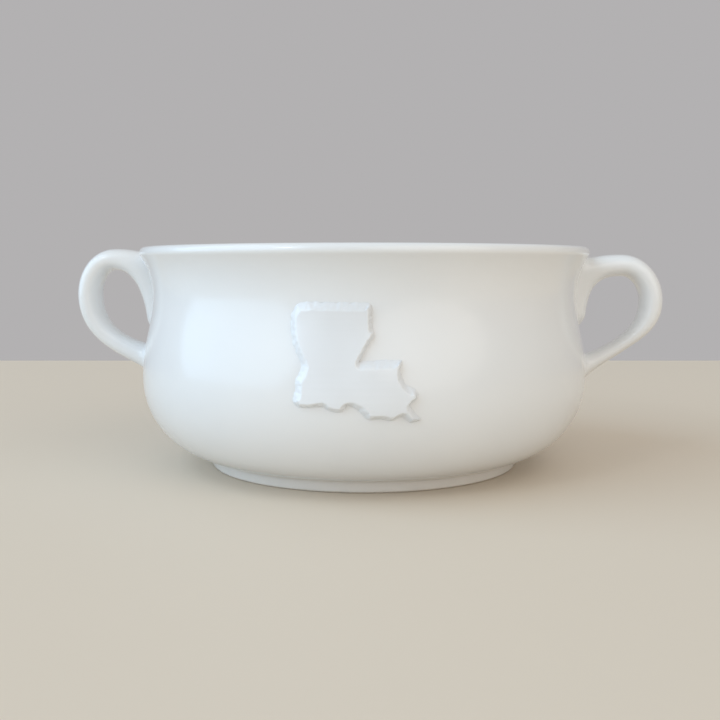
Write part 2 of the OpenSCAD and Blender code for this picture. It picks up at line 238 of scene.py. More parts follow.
class Piece:
    """One mesh under the hand: it is started from a primitive and shaped by edit mode's operators."""

    def __init__(self, name: str) -> None:
        """Names the piece that the last operator added.

        Args:
            name: The object's name, in words that a potter would use.
        """
        self.obj: bpy.types.Object = bpy.context.object
        self.obj.name = name
        self.obj.data.name = name

    @classmethod
    def from_point(cls, name: str, place: Triple) -> "Piece":
        """Starts a piece as a single point, made of a small plane.

        Args:
            name: The object's name.
            place: Where the point lies.

        Returns:
            The piece, in edit mode with the point selected.
        """
        bpy.ops.mesh.primitive_plane_add(size=MM)
        piece = cls(name)
        bpy.ops.object.mode_set(mode="EDIT")
        bpy.ops.mesh.select_all(action="SELECT")
        bpy.ops.mesh.merge(type="CENTER")
        bpy.ops.transform.translate(value=place)
        return piece

    @staticmethod
    def pull(step: Triple) -> None:
        """Extrudes what is selected by a step."""
        bpy.ops.mesh.extrude_region_move(TRANSFORM_OT_translate={"value": step})

    def draw_section(self, line: list[Vector]) -> None:
        """Extrudes the selected point along a line of radius and height.

        Args:
            line: The points after the first, which is where the selected point lies.
        """
        for before, after in zip(line, line[1:]):
            step = after - before
            self.pull((step.x, 0, step.y))

    def spin(self, steps: int) -> None:
        """Turns the drawn section round the Z axis and closes it.

        Args:
            steps: How many copies of the section go round.
        """
        bpy.ops.mesh.select_all(action="SELECT")
        bpy.ops.mesh.spin(steps=steps, angle=math.tau, center=(0, 0, 0), axis=(0, 0, 1), use_auto_merge=True)
        self.close_seams()

    def close_seams(self) -> None:
        """Merges doubled points, turns all faces outwards and leaves edit mode."""
        bpy.ops.mesh.select_all(action="SELECT")
        bpy.ops.mesh.remove_doubles(threshold=WELD)
        bpy.ops.mesh.normals_make_consistent(inside=False)
        bpy.ops.object.mode_set(mode="OBJECT")

    def modify(self, kind: str, **settings: object) -> None:
        """Adds a modifier to the piece and applies it.

        Args:
            kind: Blender's name of the modifier.
            **settings: Values of its own.
        """
        bpy.ops.object.modifier_add(type=kind)
        modifier = self.obj.modifiers[-1]
        for name, value in settings.items():
            setattr(modifier, name, value)
        bpy.ops.object.modifier_apply(modifier=modifier.name)

    def subdivide(self, levels: int) -> None:
        """Rounds the piece with applied subdivision."""
        self.modify("SUBSURF", levels=levels, render_levels=levels)

    @staticmethod
    def read(rows: bpy.types.bpy_prop_collection, name: str, width: int, kind: type = float) -> np.ndarray:
        """One property of all points or edges.

        Args:
            rows: The mesh's points or edges.
            name: The property.
            width: How many numbers it has.
            kind: What the numbers are.

        Returns:
            An array with one row for each point or edge.
        """
        flat = np.zeros(len(rows) * width, dtype=kind)
        rows.foreach_get(name, flat)
        return flat.reshape(-1, width)

    def points(self) -> np.ndarray:
        """The mesh's points as an array of rows."""
        return self.read(self.obj.data.vertices, "co", 3)

    def normals(self) -> np.ndarray:
        """The points' normals as an array of rows."""
        return self.read(self.obj.data.vertices, "normal", 3)

    def edges(self) -> np.ndarray:
        """The mesh's edges as pairs of point numbers."""
        return self.read(self.obj.data.edges, "vertices", 2, int)

    def reshape(self, points: np.ndarray) -> None:
        """Puts every point of the mesh in a new place, as a sculpting brush would."""
        self.obj.data.vertices.foreach_set("co", points.ravel())
        self.obj.data.update()

    def spread(self, values: np.ndarray) -> np.ndarray:
        """The mean of each point's neighbours.

        Args:
            values: One value or row of values for each point.

        Returns:
            An array of the same shape.
        """
        pairs = self.edges()
        total = np.zeros_like(values)
        count = np.zeros(len(values))
        for a, b in ((0, 1), (1, 0)):
            np.add.at(total, pairs[:, a], values[pairs[:, b]])
            np.add.at(count, pairs[:, a], 1)
        share = 1 / np.maximum(count, 1)
        return total * (share[:, None] if values.ndim > 1 else share)

    def evened(self, values: np.ndarray, passes: int) -> np.ndarray:
        """Values that are evened out with those of their neighbours.

        Args:
            values: One value or row of values for each point.
            passes: How often.

        Returns:
            An array of the same shape.
        """
        for _ in range(passes):
            values = (values + self.spread(values)) / 2
        return values

    def mark_hollows(self, depth: float, passes: int = 2) -> None:
        """Keeps an attribute of how hollow the surface is, from 0 on edges through 0.5 to 1 in hollows.

        Args:
            depth: Curvature, in units of one over a metre, that counts as fully hollow or sharp.
            passes: How often the value is evened out.
        """
        points, pairs = self.points(), self.edges()
        lengths = np.linalg.norm(points[pairs[:, 0]] - points[pairs[:, 1]], axis=1)
        square, count = np.zeros(len(points)), np.zeros(len(points))
        for a in (0, 1):
            np.add.at(square, pairs[:, a], lengths ** 2)
            np.add.at(count, pairs[:, a], 1)
        offset = ((self.spread(points) - points) * self.normals()).sum(axis=1)
        bend = 2 * offset * count / np.maximum(square, TINY)
        value = self.evened(np.clip(bend / depth, -1, 1), passes)
        attribute = self.obj.data.attributes.new(HOLLOW, "FLOAT", "POINT")
        attribute.data.foreach_set("value", (0.5 + 0.5 * value).astype(np.float32))

    def finish(self, material: bpy.types.Material, slot: Slot, *nodes: str) -> bpy.types.Object:
        """Args:
            material: The finish.
            slot: The record's slot of that finish; not used.
            *nodes: The CAD nodes that the piece stands for.

        Returns:
            The finished object.
        """
        bpy.ops.object.select_all(action="DESELECT")
        self.obj.select_set(True)
        bpy.context.view_layer.objects.active = self.obj
        bpy.ops.object.shade_smooth()
        self.obj.data.materials.append(material)
        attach(self.obj, ROOT)
        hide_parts(*nodes)
        log.info("%s: %d faces, for %s", self.obj.name, len(self.obj.data.polygons), ", ".join(nodes))
        return self.obj


@dataclass(frozen=True)
class Hand:
    """The slight unevenness that a hand leaves, the same field for every piece so that all stay seated."""

    sway: float = 0.22 * MM
    span: float = 46 * MM
    full_z: float = 12 * MM
    level_z: float = 66 * MM
    level_over: float = 20 * MM
    seeds: tuple[Vector, ...] = (Vector((3.1, 7.7, 1.9)), Vector((13.4, 2.6, 8.8)), Vector((5.9, 17.2, 4.3)))

    def leave(self, piece: Piece) -> None:
        """Moves the piece's points a little, by a smooth field that is nothing at the table.

        Args:
            piece: The piece, in its final shape otherwise.
        """
        points = piece.points()
        moves = [[noise.noise(Vector(p) / self.span + seed) for seed in self.seeds] for p in points]
        lift = np.clip(points[:, 2:3] / self.full_z, 0, 1)
        moves = np.array(moves) * self.sway * lift
        moves[:, 2] *= np.clip((self.level_z - points[:, 2]) / self.level_over, 0, 1)
        piece.reshape(points + moves)


@dataclass
class Bowl:
    """The thrown bowl: floor, belly, waist and rolled lip in one skin."""

    wall: Wall
    hand: Hand
    under_shares: tuple[float, ...] = (0, 0.08, 0.3, 0.6, 0.88, 1)
    lower_steps: int = 16
    upper_steps: int = 11
    turns: int = 168
    sharp_bend: float = 400

    def build(self, glaze: bpy.types.Material) -> bpy.types.Object:
        """Draws the section, spins it and dresses it.

        Args:
            glaze: The white glaze.

        Returns:
            The finished bowl.
        """
        start = Vector((0, self.wall.foot_h))
        reach = self.wall.joint.x
        under = [start + Vector((reach * share, 0)) for share in self.under_shares]
        outside = self.wall.outer_line(self.lower_steps, self.upper_steps)
        piece = Piece.from_point("bowl", (start.x, 0, start.y))
        piece.draw_section(under + outside + self.wall.inner_line(self.upper_steps))
        piece.spin(self.turns)
        piece.subdivide(1)
        self.hand.leave(piece)
        piece.mark_hollows(self.sharp_bend)
        return piece.finish(glaze, Slot.WHITE_GLAZE, "bowl_body")


@dataclass
class Foot:
    """The foot ring with the slip bed over it, rounded into the underside."""

    wall: Wall
    hand: Hand
    width: float = 4.2 * MM
    edge_r: float = 0.8 * MM
    bed_t: float = 0.3 * MM
    arc_step: int = 15
    turns: int = 168
    sharp_bend: float = 900

    def section(self) -> list[Vector]:
        """The ring's closed outline.

        Returns:
            Points from its inner lower edge round the outside.
        """
        outer, inner, edge = self.wall.foot_r, self.wall.foot_r - self.width, self.edge_r
        top, cove = self.wall.foot_h, self.wall.cove_r + self.bed_t
        turns = [math.radians(turn) for turn in range(0, 91, self.arc_step)]
        arc = [(1 - math.cos(t), 1 - math.sin(t)) for t in turns]
        low_in = [Vector((inner + edge * a, edge * b)) for a, b in arc]
        low_out = [Vector((outer - edge * b, edge * a)) for a, b in arc]
        out = [Vector((outer + cove * a, top - cove * b)) for a, b in arc]
        back = [Vector((inner - cove * a, top - cove * b)) for a, b in arc]
        return low_in + low_out + out + back[::-1]

    def build(self, glaze: bpy.types.Material) -> bpy.types.Object:
        """Draws the ring's section, spins it and dresses it.

        Args:
            glaze: The foot's glaze, bare where it meets the table.

        Returns:
            The finished foot.
        """
        line = self.section()
        piece = Piece.from_point("foot", (line[0].x, 0, line[0].y))
        piece.draw_section(line)
        bpy.ops.mesh.select_all(action="SELECT")
        bpy.ops.mesh.edge_face_add()
        bpy.ops.mesh.delete(type="ONLY_FACE")
        piece.spin(self.turns)
        piece.subdivide(1)
        self.hand.leave(piece)
        piece.mark_hollows(self.sharp_bend)
        return piece.finish(glaze, Slot.FOOT_GLAZE, "foot_ring", "foot_slip")


@dataclass(frozen=True)
class Station:
    """An oval across a strap: its outer and inner end in the plane of the handle, and its width."""

    outer: Vector
    inner: Vector
    width: float

    @property
    def middle(self) -> Vector:
        """Midway between the outer and the inner line."""
        return (self.outer + self.inner) / 2

    @property
    def depth(self) -> float:
        """Thickness of the strap here."""
        return (self.outer - self.inner).length

    @property
    def heading(self) -> float:
        """Angle of the way from the inner to the outer line, from +X towards +Z."""
        way = self.outer - self.inner
        return math.atan2(way.y, way.x)


@dataclass(frozen=True)
class Bends:
    """Shares that bend a handle's lines: of the hole side of its arm, and of its tail's hole side."""

    hang: float
    climb: float
    lift: float
    lean: float


@dataclass
class Handle:
    """One pulled strap: a tail pressed down the wall, a crown, a side and an arm back to the belly."""

    side: Side
    wall: Wall
    hand: Hand
    out: float
    drop: float
    tail_drop: float
    corner_drop: float
    arm_t: float
    bends: Bends
    crown_out: float = 11 * MM
    side_drop: float = 15.4 * MM
    strap_t: float = 7 * MM
    strap_w: float = 13.5 * MM
    arm_w: float = 11 * MM
    seat_flare: float = 2 * MM
    tail_w: float = 8.5 * MM
    tail_t: float = 2.4 * MM
    root_drop: float = 1.9 * MM
    sink: float = 3 * MM
    sink_fall: float = 0.4
    tip_share: float = 0.15
    tail_lead: float = 0.52
    tail_swell: float = 0.8 * MM
    crown_bend: Span = (0.5, 0.55)
    arm_bend: float = 0.55
    thin_by: float = 0.6
    flare_power: int = 6
    press: float = 1.2 * MM
    feel: float = 0.3 * MM
    upper_fillet: float = 2.0 * MM
    lower_fillet: float = 2.4 * MM
    fillet_push: float = 0.65
    fillet_fade: float = 0.4
    fillet_span: Span = (-0.5, 9)
    clear_by: float = 6 * MM
    fillet_passes: int = 6
    soft_passes: int = 10
    tail_rings: int = 9
    crown_rings: int = 5
    loop_rings: int = 9
    arm_rings: int = 12
    sides: int = 24
    flatness: float = 0.86
    levels: int = 3
    sharp_bend: float = 900

    @property
    def name(self) -> str:
        """The side's name, as in the names of its CAD nodes."""
        return self.side.name.lower()

    @property
    def reach(self) -> float:
        """Radius of the furthest point of the strap."""
        return self.wall.rim_r + self.out

    @property
    def crown_r(self) -> float:
        """Radius at which the strap is highest."""
        return self.wall.rim_r + self.crown_out

    @property
    def top_z(self) -> float:
        """Height of the crown."""
        return self.wall.height - self.drop

    @property
    def root_z(self) -> float:
        """Height at which the strap leaves the wall."""
        return self.top_z - self.root_drop

    @property
    def side_z(self) -> float:
        """Height of the furthest point."""
        return self.top_z - self.side_drop

    @property
    def tail_z(self) -> float:
        """Height of the tail's tip."""
        return self.wall.height - self.tail_drop

    @property
    def corner_z(self) -> float:
        """Height at which the arm's hole side meets the wall."""
        return self.wall.height - self.corner_drop

    def tail(self) -> list[Station]:
        """The tail, from its tip up to where the strap leaves the wall.

        Returns:
            Stations that reach from behind the wall's face out to the strap's face.
        """
        tip, lead, found = self.tip_share, self.inner_lead(), []
        for i in range(self.tail_rings):
            s = (i + tip) / (self.tail_rings - 1 + tip)
            full = math.sqrt(1 - (1 - s / tip) ** 2) if s < tip else 1.0
            z = mix(self.tail_z, self.root_z, s)
            face = lead.at(s * self.tail_lead)
            outer = Vector((self.wall.radius(z) - self.sink * full, z))
            inner = Vector((mix(self.wall.radius(face.y), face.x, full), face.y))
            found.append(Station(outer, inner, mix(self.tail_w, self.strap_w, s) * full))
        return found

    def inner_lead(self) -> Curve:
        """The line of the strap's hole side, from the tail's tip to under the crown.

        Returns:
            The curve.
        """
        z0, z1 = self.tail_z, self.top_z - self.strap_t
        x0 = self.wall.radius(z0) + self.tail_t
        return Curve((Vector((x0, z0)), Vector((x0 + self.tail_swell, mix(z0, z1, self.bends.lift))),
                      Vector((mix(x0, self.crown_r, self.bends.lean), z1)), Vector((self.crown_r, z1))))

    def crown(self) -> list[Station]:
        """The rise from the lip to the crown.

        Returns:
            The stations.
        """
        z0, z1 = self.root_z, self.top_z
        x0, x1 = self.wall.radius(z0) - self.sink, self.crown_r
        low, high = self.crown_bend
        lead = Curve((Vector((x0, z0)), Vector((mix(x0, x1, low), mix(z0, z1, low))),
                      Vector((mix(x0, x1, high), z1)), Vector((x1, z1))))
        under = self.inner_lead()
        return [Station(lead.at(t), under.at(mix(self.tail_lead, 1, t)), self.strap_w)
                for t in steps_of(self.crown_rings)]

    def quarter(self, radius: float, top_z: float) -> Curve:
        """The rounded quarter from the crown to the furthest point, at one radius."""
        return Curve((Vector((self.crown_r, top_z)), Vector((mix(self.crown_r, radius, QUARTER_BEND), top_z)),
                      Vector((radius, mix(self.side_z, top_z, QUARTER_BEND))), Vector((radius, self.side_z))))

    def loop(self) -> list[Station]:
        """The rounded side of the loop.

        Returns:
            The stations.
        """
        outer = self.quarter(self.reach, self.top_z)
        inner = self.quarter(self.reach - self.strap_t, self.top_z - self.strap_t)
        return [Station(outer.at(t), inner.at(t), self.strap_w) for t in steps_of(self.loop_rings)]

    def arm(self) -> list[Station]:
        """The lower arm, which thins and then spreads on to the belly.

        Returns:
            The stations, the last of them inside the wall.
        """
        far, near = self.reach - self.strap_t, self.wall.radius(self.corner_z)
        high, low = self.side_z, self.corner_z
        line = Curve((Vector((far, high)), Vector((far, mix(high, low, self.bends.hang))),
                      Vector((mix(near, far, self.arm_bend), mix(low, high, self.bends.climb))),
                      Vector((near, low))))
        found = []
        for t in steps_of(self.arm_rings):
            along = line.slope(t).normalized()
            thinned, spread = min(1, t / self.thin_by), self.seat_flare * t ** self.flare_power
            ease = thinned ** 2 * (3 - 2 * thinned)
            across = mix(self.strap_t, self.arm_t, ease) + spread
            outer = line.at(t) + across * Vector((-along.y, along.x))
            found.append(Station(outer, line.at(t), mix(self.strap_w, self.arm_w, ease) + spread))
        last = found[-1]
        inwards = Vector((-self.sink, -self.sink_fall * self.sink))
        return found + [Station(last.outer + inwards, last.inner + inwards, last.width)]

    def carry(self, before: Station, after: Station) -> None:
        """Moves, turns and resizes the selected loop.

        Args:
            before: The station that it lies at.
            after: The station that it goes to.
        """
        step = after.middle - before.middle
        place = (after.middle.x, 0, after.middle.y)
        bpy.ops.transform.translate(value=(step.x, 0, step.y))
        turn = (after.heading - before.heading + math.pi) % math.tau - math.pi
        bpy.ops.transform.rotate(value=turn, orient_axis="Y", center_override=place)
        ratio = (after.depth / before.depth, after.width / before.width, 1)
        axes = Matrix.Rotation(-after.heading, 3, "Y")
        bpy.ops.transform.resize(value=ratio, orient_type="GLOBAL", orient_matrix=axes,
                                 orient_matrix_type="GLOBAL", center_override=place)

    def draw(self) -> Piece:
        """Pulls the strap from station to station, on the +X side.

        Returns:
            The strap as a closed mesh, not yet seated on the wall.
        """
        stations = self.tail() + self.crown() + self.loop() + self.arm()
        bpy.ops.mesh.primitive_circle_add(vertices=self.sides, radius=1)
        piece = Piece(f"{self.name}_strap")
        circle = piece.points()
        piece.reshape(np.sign(circle) * np.abs(circle) ** self.flatness)
        bpy.ops.object.mode_set(mode="EDIT")
        bpy.ops.mesh.select_all(action="SELECT")
        self.carry(Station(Vector((1, 0)), Vector((-1, 0)), 2), stations[0])
        bpy.ops.mesh.edge_face_add()
        for before, after in zip(stations, stations[1:]):
            piece.pull((0, 0, 0))
            self.carry(before, after)
        piece.close_seams()
        piece.subdivide(self.levels)
        return piece

    def seat(self, piece: Piece) -> None:
        """Presses the ends on to the wall and draws the slip round them out into a fillet.

        Args:
            piece: The strap on the +X side.
        """
        points, normals = piece.points(), piece.normals()
        around, height = np.hypot(points[:, 0], points[:, 1]), points[:, 2]
        rise = self.wall.radius(height + self.feel) - self.wall.radius(height - self.feel)
        tilt = np.arctan2(rise, 2 * self.feel)
        flat = np.cos(tilt) / around
        face = np.stack([points[:, 0] * flat, points[:, 1] * flat, -np.sin(tilt)], axis=1)
        gap = (around - self.wall.radius(height)) * np.cos(tilt)
        fillet = np.where(height > (self.tail_z + self.corner_z) / 2, self.upper_fillet, self.lower_fillet)
        fade = np.exp(-np.clip(gap / fillet, *self.fillet_span) / self.fillet_fade)
        clear = around > self.wall.rim_r + self.clear_by
        push = np.where(clear, 0, self.fillet_push * fillet * fade)[:, None]
        sideways = normals - (normals * face).sum(axis=1)[:, None] * face
        points += piece.evened(sideways * push, self.fillet_passes)
        points[gap < 0, 2] = np.minimum(points[gap < 0, 2], self.wall.lip.y)
        points = self.held(points)
        soft = np.clip(2 - np.abs(gap) / fillet, 0, 1)[:, None] * ~clear[:, None]
        for _ in range(self.soft_passes):
            points = self.held(points + soft * (piece.spread(points) - points) / 2)
        piece.reshape(points)

    def held(self, points: np.ndarray) -> np.ndarray:
        """Brings points that lie inside the wall to just under its face.

        Args:
            points: Rows of points.

        Returns:
            Rows of points.
        """
        around = np.hypot(points[:, 0], points[:, 1])
        scale = np.maximum(around, self.wall.radius(points[:, 2]) - self.press) / around
        return points * np.stack([scale, scale, np.ones_like(scale)], axis=1)

    def build(self, glaze: bpy.types.Material) -> bpy.types.Object:
        """Makes the handle on its own side and dresses it.

        Args:
            glaze: The white glaze.

        Returns:
            The finished handle.
        """
        piece = self.draw()
        self.seat(piece)
        if self.side is Side.LEFT:
            piece.reshape(piece.points() * np.array([-1, 1, 1]))
            bpy.ops.object.mode_set(mode="EDIT")
            piece.close_seams()
        self.hand.leave(piece)
        piece.mark_hollows(self.sharp_bend)
        nodes = [f"{self.name}_{part}" for part in ("handle", "upper_slip", "lower_slip")]
        return piece.finish(glaze, Slot.WHITE_GLAZE, *nodes)


@dataclass
class Relief:
    """The pressed figure: a plain map outline with soft edges, wrapped on the front of the wall."""

    wall: Wall
    hand: Hand
    width: float = 34.2 * MM
    height: float = 31.4 * MM
    middle_z: float = 39.2 * MM
    turn: float = math.radians(1.25)
    depth: float = 1.75 * MM
    slope: float = 1.7 * MM
    lit_share: float = 0.5
    wobble: float = 0.24 * MM
    crumb: float = 1.3 * MM
    dent: float = 0.05 * MM
    dent_span: float = 6 * MM
    round_power: float = 1.35
    bury: float = 0.04 * MM
    cell: float = 0.18 * MM
    margin_cells: float = 6
    trim_cells: float = 1.5
    back: float = 0.5 * MM
    corner_cut: float = 0.25
    cut_passes: int = 2
    # The hollow mask's bend and passes set the thin lines of painted shade in the crevices round the figure.
    sharp_bend: float = 2000
    bend_passes: int = 3
    west: Shares = ((0.2, 1), (0.07, 1), (0.01, 0.93), (0, 0.84), (0.02, 0.7), (0.055, 0.6), (0.1, 0.52),
                    (0.115, 0.47), (0.09, 0.4), (0.065, 0.35), (0.075, 0.29), (0.06, 0.23), (0.05, 0.19),
                    (0.06, 0.16), (0.1, 0.13))
    coast: Shares = ((0.1, 0.13), (0.19, 0.13), (0.27, 0.15), (0.33, 0.105), (0.4, 0.095), (0.435, 0.11),
                     (0.46, 0.16), (0.515, 0.14), (0.57, 0.1), (0.61, 0.03), (0.71, 0.045), (0.81, 0.02),
                     (0.86, 0.07), (0.9, 0.035), (0.945, 0), (1.02, 0.03))
    toe: Shares = ((1.02, 0.03), (0.965, 0.09), (0.925, 0.155), (0.995, 0.21), (0.985, 0.28), (0.915, 0.31),
                   (0.87, 0.37), (0.86, 0.44), (0.88, 0.53))
    notch: Shares = ((0.56, 0.52), (0.605, 0.63), (0.68, 0.735), (0.65, 0.8), (0.65, 0.89), (0.65, 0.99),
                     (0.58, 0.995))

    def soften(self, line: Shares) -> list[Vector]:
        """Cuts the corners of an open line, as wet clay loses them, and keeps its ends.

        Args:
            line: The line.

        Returns:
            The softer line's points.
        """
        points, cut = [Vector(p) for p in line], self.corner_cut
        for _ in range(self.cut_passes):
            found = [q for a, b in zip(points, points[1:]) for q in (a.lerp(b, cut), a.lerp(b, 1 - cut))]
            points = [points[0]] + found[1:-1] + [points[-1]]
        return points

    def outline(self) -> np.ndarray:
        """The figure's outline.

        Returns:
            Rows of places along the wall and up it, from the figure's middle.
        """
        shares = [p for line in (self.west, self.coast, self.toe, self.notch) for p in self.soften(line)]
        size = np.array([self.width, self.height])
        return (np.array([tuple(p) for p in shares]) - 0.5) * size

    def inside_by(self, places: np.ndarray) -> tuple[np.ndarray, np.ndarray]:
        """How far each place lies inside the outline, and how much its nearest edge faces the light.

        Args:
            places: Rows of places along the wall and up it.

        Returns:
            One distance for each place, negative outside, and one value from -1 to 1, lit when positive.
        """
        starts = self.outline()
        ends = np.roll(starts, -1, axis=0)
        nearest = np.full(len(places), np.inf)
        lit = np.zeros(len(places))
        inside = np.zeros(len(places), dtype=bool)
        for a, b in zip(starts, ends):
            way = b - a
            if not way.any():
                continue
            t = np.clip(((places - a) @ way) / (way @ way), 0, 1)
            off = places - a - t[:, None] * way
            away = np.linalg.norm(off, axis=1)
            closer = away < nearest
            lit[closer] = ((off[:, 0] - off[:, 1]) / (math.sqrt(2) * np.maximum(away, TINY)))[closer]
            nearest = np.minimum(nearest, away)
            crosses = (a[1] > places[:, 1]) != (b[1] > places[:, 1])
            where = a[0] + (places[:, 1] - a[1]) * way[0] / (way[1] if abs(way[1]) > TINY else TINY)
            inside ^= crosses & (places[:, 0] < where)
        return np.where(inside, nearest, -nearest), np.where(inside, lit, -lit)

    def build(self, glaze: bpy.types.Material) -> bpy.types.Object:
        """Raises the figure out of a sheet of clay, wraps it on the wall and dresses it.

        Args:
            glaze: The figure's glaze, a copy of the white glaze painted bluer and lighter as cool light, with
                painted shade in the crevices round its edges.

        Returns:
            The finished figure.
        """
        margin = self.margin_cells * self.cell
        across, up = self.width + 2 * margin, self.height + 2 * margin
        bpy.ops.mesh.primitive_grid_add(x_subdivisions=round(across / self.cell),
                                        y_subdivisions=round(up / self.cell), size=1)
        piece = Piece("relief")
        piece.reshape(piece.points() * np.array([across, up, 1]))
        self.trim(piece)
        piece.modify("SOLIDIFY", thickness=self.back, offset=-1)
        points = piece.points()
        inside, lit = self.inside_by(points[:, :2])
        ragged, uneven = (np.array([noise.noise(Vector((*p[:2], 0)) / size) for p in points])
                          for size in (self.crumb, self.dent_span))
        front = points[:, 2] > -self.back / 2
        reach = self.slope * (1 + self.lit_share * lit)
        share = np.clip((inside + self.wobble * ragged) / reach, 0, 1)
        lift = (self.depth + self.dent * (uneven - 1)) * (1 - (1 - share) ** self.round_power)
        points[:, 2] = np.where(front, lift - self.bury, points[:, 2])
        piece.reshape(self.wrapped(points))
        bpy.ops.object.mode_set(mode="EDIT")
        piece.close_seams()
        self.hand.leave(piece)
        piece.mark_hollows(self.sharp_bend, self.bend_passes)
        return piece.finish(glaze, Slot.WHITE_GLAZE, "state_relief", "relief_slip")

    def trim(self, piece: Piece) -> None:
        """Cuts away the sheet that lies clear of the figure.

        Args:
            piece: The sheet, still flat.
        """
        bpy.ops.object.mode_set(mode="EDIT")
        bpy.ops.mesh.select_all(action="DESELECT")
        bpy.ops.object.mode_set(mode="OBJECT")
        clear = self.inside_by(piece.points()[:, :2])[0] < -self.trim_cells * self.cell
        piece.obj.data.vertices.foreach_set("select", clear)
        bpy.ops.object.mode_set(mode="EDIT")
        bpy.ops.mesh.delete(type="VERT")
        bpy.ops.object.mode_set(mode="OBJECT")

    def wrapped(self, points: np.ndarray) -> np.ndarray:
        """Flat places laid round the wall.

        Args:
            points: Rows of the place along the wall, the place up it and the height above it.

        Returns:
            Rows of points in the frame.
        """
        z = self.middle_z + points[:, 1]
        angle = self.turn + points[:, 0] / self.wall.radius(self.middle_z)
        r = self.wall.radius(z) + points[:, 2]
        return np.stack([r * np.sin(angle), -r * np.cos(angle), z], axis=1)


class Nodes:
    """A material's or a group's node tree, and short ways to add to it."""

    def __init__(self, tree: bpy.types.NodeTree) -> None:
        """Holds the tree."""
        self.tree = tree

    def fill(self, node: bpy.types.Node, **values: object) -> bpy.types.Node:
        """Sets a node's own options, and fills or links its inputs.

        Args:
            node: The node.
            **values: Options by attribute name, and inputs by name with spaces as underscores.

        Returns:
            The node.
        """
        for name, value in values.items():
            if hasattr(node, name):
                setattr(node, name, value)
                continue
            key = int(name.removeprefix("in_")) if name.startswith("in_") else name.replace("_", " ")
            if isinstance(value, Socket):
                self.tree.links.new(value, node.inputs[key])
            else:
                node.inputs[key].default_value = value
        return node

    def add(self, kind: str, **values: object) -> bpy.types.Node:
        """Adds a node of one of Blender's types and fills it."""
        return self.fill(self.tree.nodes.new(kind), **values)

    def math(self, operation: str, *values: object) -> Socket:
        """A math node's result."""
        inputs = {f"in_{i}": value for i, value in enumerate(values)}
        return self.add("ShaderNodeMath", operation=operation, **inputs).outputs[0]

    def ramp(self, value: Socket, span: Span, ends: Span = (0, 1)) -> Socket:
        """A value carried smoothly from one span to another.

        Args:
            value: The value.
            span: The span that it is read in.
            ends: What the span's two ends become.

        Returns:
            The new value.
        """
        return self.add("ShaderNodeMapRange", interpolation_type="SMOOTHSTEP", Value=value,
                        From_Min=span[0], From_Max=span[1], To_Min=ends[0], To_Max=ends[1]).outputs["Result"]

    def blend(self, share: Socket, first: Socket | Triple, second: Socket | Triple) -> Socket:
        """A colour between two.

        Args:
            share: How much of the second.
            first: The colour at a share of 0.
            second: The colour at a share of 1.

        Returns:
            The colour.
        """
        a, b = (c if isinstance(c, Socket) else (*c, 1) for c in (first, second))
        return self.add("ShaderNodeMix", data_type="RGBA", Factor=share, in_6=a, in_7=b).outputs[2]

    def noise(self, place: Socket, size: float, detail: float = 2) -> Socket:
        """Smooth noise whose lumps are about a size across, in metres."""
        return self.add("ShaderNodeTexNoise", Vector=place, Scale=1 / size, Detail=detail).outputs["Fac"]


@dataclass(frozen=True)
class GlazeSurface:
    """How a glaze lies: its ripples, throwing lines and pinholes, where it pools and thins, and the hollow
    mask that also places painted shade.
    """

    ripple_size: float = 9 * MM
    fine_size: float = 1.6 * MM
    fine_share: float = 0.07
    line_size: float = 5 * MM
    line_squeeze: Triple = (0.12, 0.12, 1)
    line_share: float = 0.35
    hole_gap: float = 14 * MM
    hole_edge: Span = (0.012, 0.028)
    hole_rarity: Span = (0.62, 0.64)
    hole_depth: float = 0.6
    pool_span: Span = (0.52, 0.95)
    thin_span: Span = (0.42, 0.02)
    cloud_size: float = 38 * MM

    def build(self) -> bpy.types.NodeTree:
        """Builds the node group that every glaze shares.

        Returns:
            The group, with outputs Height, Pool, Thin and Cloud. Pool marks the hollows, both for pooled
            glaze and for painted shade.
        """
        tree = bpy.data.node_groups.new("glaze_surface", "ShaderNodeTree")
        for name in ("Height", "Pool", "Thin", "Cloud"):
            tree.interface.new_socket(name, in_out="OUTPUT", socket_type="NodeSocketFloat")
        kit = Nodes(tree)
        place = kit.add("ShaderNodeTexCoord").outputs["Object"]
        flat = kit.add("ShaderNodeMapping", Vector=place, Scale=self.line_squeeze).outputs["Vector"]
        ripple = kit.noise(place, self.ripple_size)
        fine = kit.math("MULTIPLY", kit.noise(place, self.fine_size, 1), self.fine_share)
        lines = kit.math("MULTIPLY", kit.noise(flat, self.line_size, 1), self.line_share)
        cell = kit.add("ShaderNodeTexVoronoi", feature="F1", Vector=place, Scale=1 / self.hole_gap)
        hole = kit.ramp(cell.outputs["Distance"], self.hole_edge, (1, 0))
        pinhole = kit.math("MULTIPLY", hole, kit.ramp(cell.outputs["Color"], self.hole_rarity))
        height = kit.math("ADD", kit.math("ADD", ripple, fine), lines)
        height = kit.math("SUBTRACT", height, kit.math("MULTIPLY", pinhole, self.hole_depth))
        hollow = kit.add("ShaderNodeAttribute", attribute_name=HOLLOW).outputs["Fac"]
        kit.add("NodeGroupOutput", Height=height, Pool=kit.ramp(hollow, self.pool_span),
                Thin=kit.ramp(hollow, self.thin_span), Cloud=kit.noise(place, self.cloud_size, 3))
        return tree


